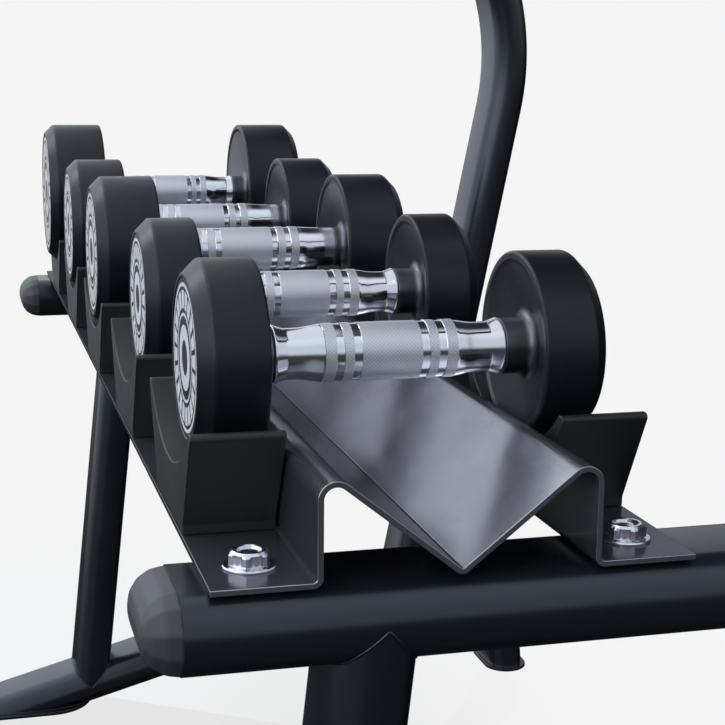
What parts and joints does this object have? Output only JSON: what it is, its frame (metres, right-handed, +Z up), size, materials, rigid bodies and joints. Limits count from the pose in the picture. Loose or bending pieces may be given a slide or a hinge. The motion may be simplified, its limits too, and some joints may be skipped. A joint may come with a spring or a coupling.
{
  "type": "dumbbell rack",
  "caption": "Freestanding tiered dumbbell rack of flat-oval tube with folded sheet trays and moulded saddles, with dumbbells on its lower tier.",
  "frame": {"origin": "on the floor under the middle of the rack", "axes": "+X along the rack towards its right end as seen from the front, -Y towards the user, +Z up"},
  "size_m": [1.155, 0.7033, 1.1075],
  "materials": {
    "frame_paint": "satin black powder coat on steel tube",
    "tray_sheet": "dark grey satin metallic lacquer on folded steel sheet",
    "cap_plastic": "moulded black plastic, fine grain",
    "saddle_plastic": "moulded matte black plastic, satin on the rounded edges",
    "head_urethane": "black urethane coat over a steel core, semi-matt",
    "chrome_handle": "bright chrome with fine diamond knurling on the grip",
    "zinc_fastener": "bright zinc plate"
  },
  "bodies": {
    "rack": {"right_base_tube": "frame_paint", "right_front_leg": "frame_paint", "right_lower_crossbar": "frame_paint", "right_upright": "frame_paint", "left_base_tube": "frame_paint", "left_front_leg": "frame_paint", "left_lower_crossbar": "frame_paint", "left_upright": "frame_paint", "right_front_foot_plate": "frame_paint", "right_back_foot_plate": "frame_paint", "left_front_foot_plate": "frame_paint", "left_back_foot_plate": "frame_paint", "right_lower_end_cap": "cap_plastic", "right_upper_end_cap": "cap_plastic", "left_lower_end_cap": "cap_plastic", "left_upper_end_cap": "cap_plastic", "lower_tray": "tray_sheet", "upper_tray": "tray_sheet", "right_front_tray_bolt": "zinc_fastener", "right_back_tray_bolt": "zinc_fastener", "left_front_tray_bolt": "zinc_fastener", "left_back_tray_bolt": "zinc_fastener", "lower_front_saddle_1": "saddle_plastic", "lower_front_saddle_2": "saddle_plastic", "lower_front_saddle_3": "saddle_plastic", "lower_front_saddle_4": "saddle_plastic", "lower_front_saddle_5": "saddle_plastic", "lower_back_saddle_1": "saddle_plastic", "lower_back_saddle_2": "saddle_plastic", "lower_back_saddle_3": "saddle_plastic", "lower_back_saddle_4": "saddle_plastic", "lower_back_saddle_5": "saddle_plastic", "upper_front_saddle_1": "saddle_plastic", "upper_front_saddle_2": "saddle_plastic", "upper_front_saddle_3": "saddle_plastic", "upper_front_saddle_4": "saddle_plastic", "upper_front_saddle_5": "saddle_plastic", "upper_back_saddle_1": "saddle_plastic", "upper_back_saddle_2": "saddle_plastic", "upper_back_saddle_3": "saddle_plastic", "upper_back_saddle_4": "saddle_plastic", "upper_back_saddle_5": "saddle_plastic"},
    "dumbbell_1": {"dumbbell_1_handle": "chrome_handle", "dumbbell_1_front_head": "head_urethane", "dumbbell_1_back_head": "head_urethane"},
    "dumbbell_2": {"dumbbell_2_handle": "chrome_handle", "dumbbell_2_front_head": "head_urethane", "dumbbell_2_back_head": "head_urethane"},
    "dumbbell_3": {"dumbbell_3_handle": "chrome_handle", "dumbbell_3_front_head": "head_urethane", "dumbbell_3_back_head": "head_urethane"},
    "dumbbell_4": {"dumbbell_4_handle": "chrome_handle", "dumbbell_4_front_head": "head_urethane", "dumbbell_4_back_head": "head_urethane"},
    "dumbbell_5": {"dumbbell_5_handle": "chrome_handle", "dumbbell_5_front_head": "head_urethane", "dumbbell_5_back_head": "head_urethane"}
  },
  "joints": [
    {"name": "dumbbell_1_lift", "type": "slide", "parent": "rack", "child": "dumbbell_1", "axis": [0, 0, 1], "range_m": [0, 0.2]},
    {"name": "dumbbell_2_lift", "type": "slide", "parent": "rack", "child": "dumbbell_2", "axis": [0, 0, 1], "range_m": [0, 0.2]},
    {"name": "dumbbell_3_lift", "type": "slide", "parent": "rack", "child": "dumbbell_3", "axis": [0, 0, 1], "range_m": [0, 0.2]},
    {"name": "dumbbell_4_lift", "type": "slide", "parent": "rack", "child": "dumbbell_4", "axis": [0, 0, 1], "range_m": [0, 0.2]},
    {"name": "dumbbell_5_lift", "type": "slide", "parent": "rack", "child": "dumbbell_5", "axis": [0, 0, 1], "range_m": [0, 0.2]}
  ]
}
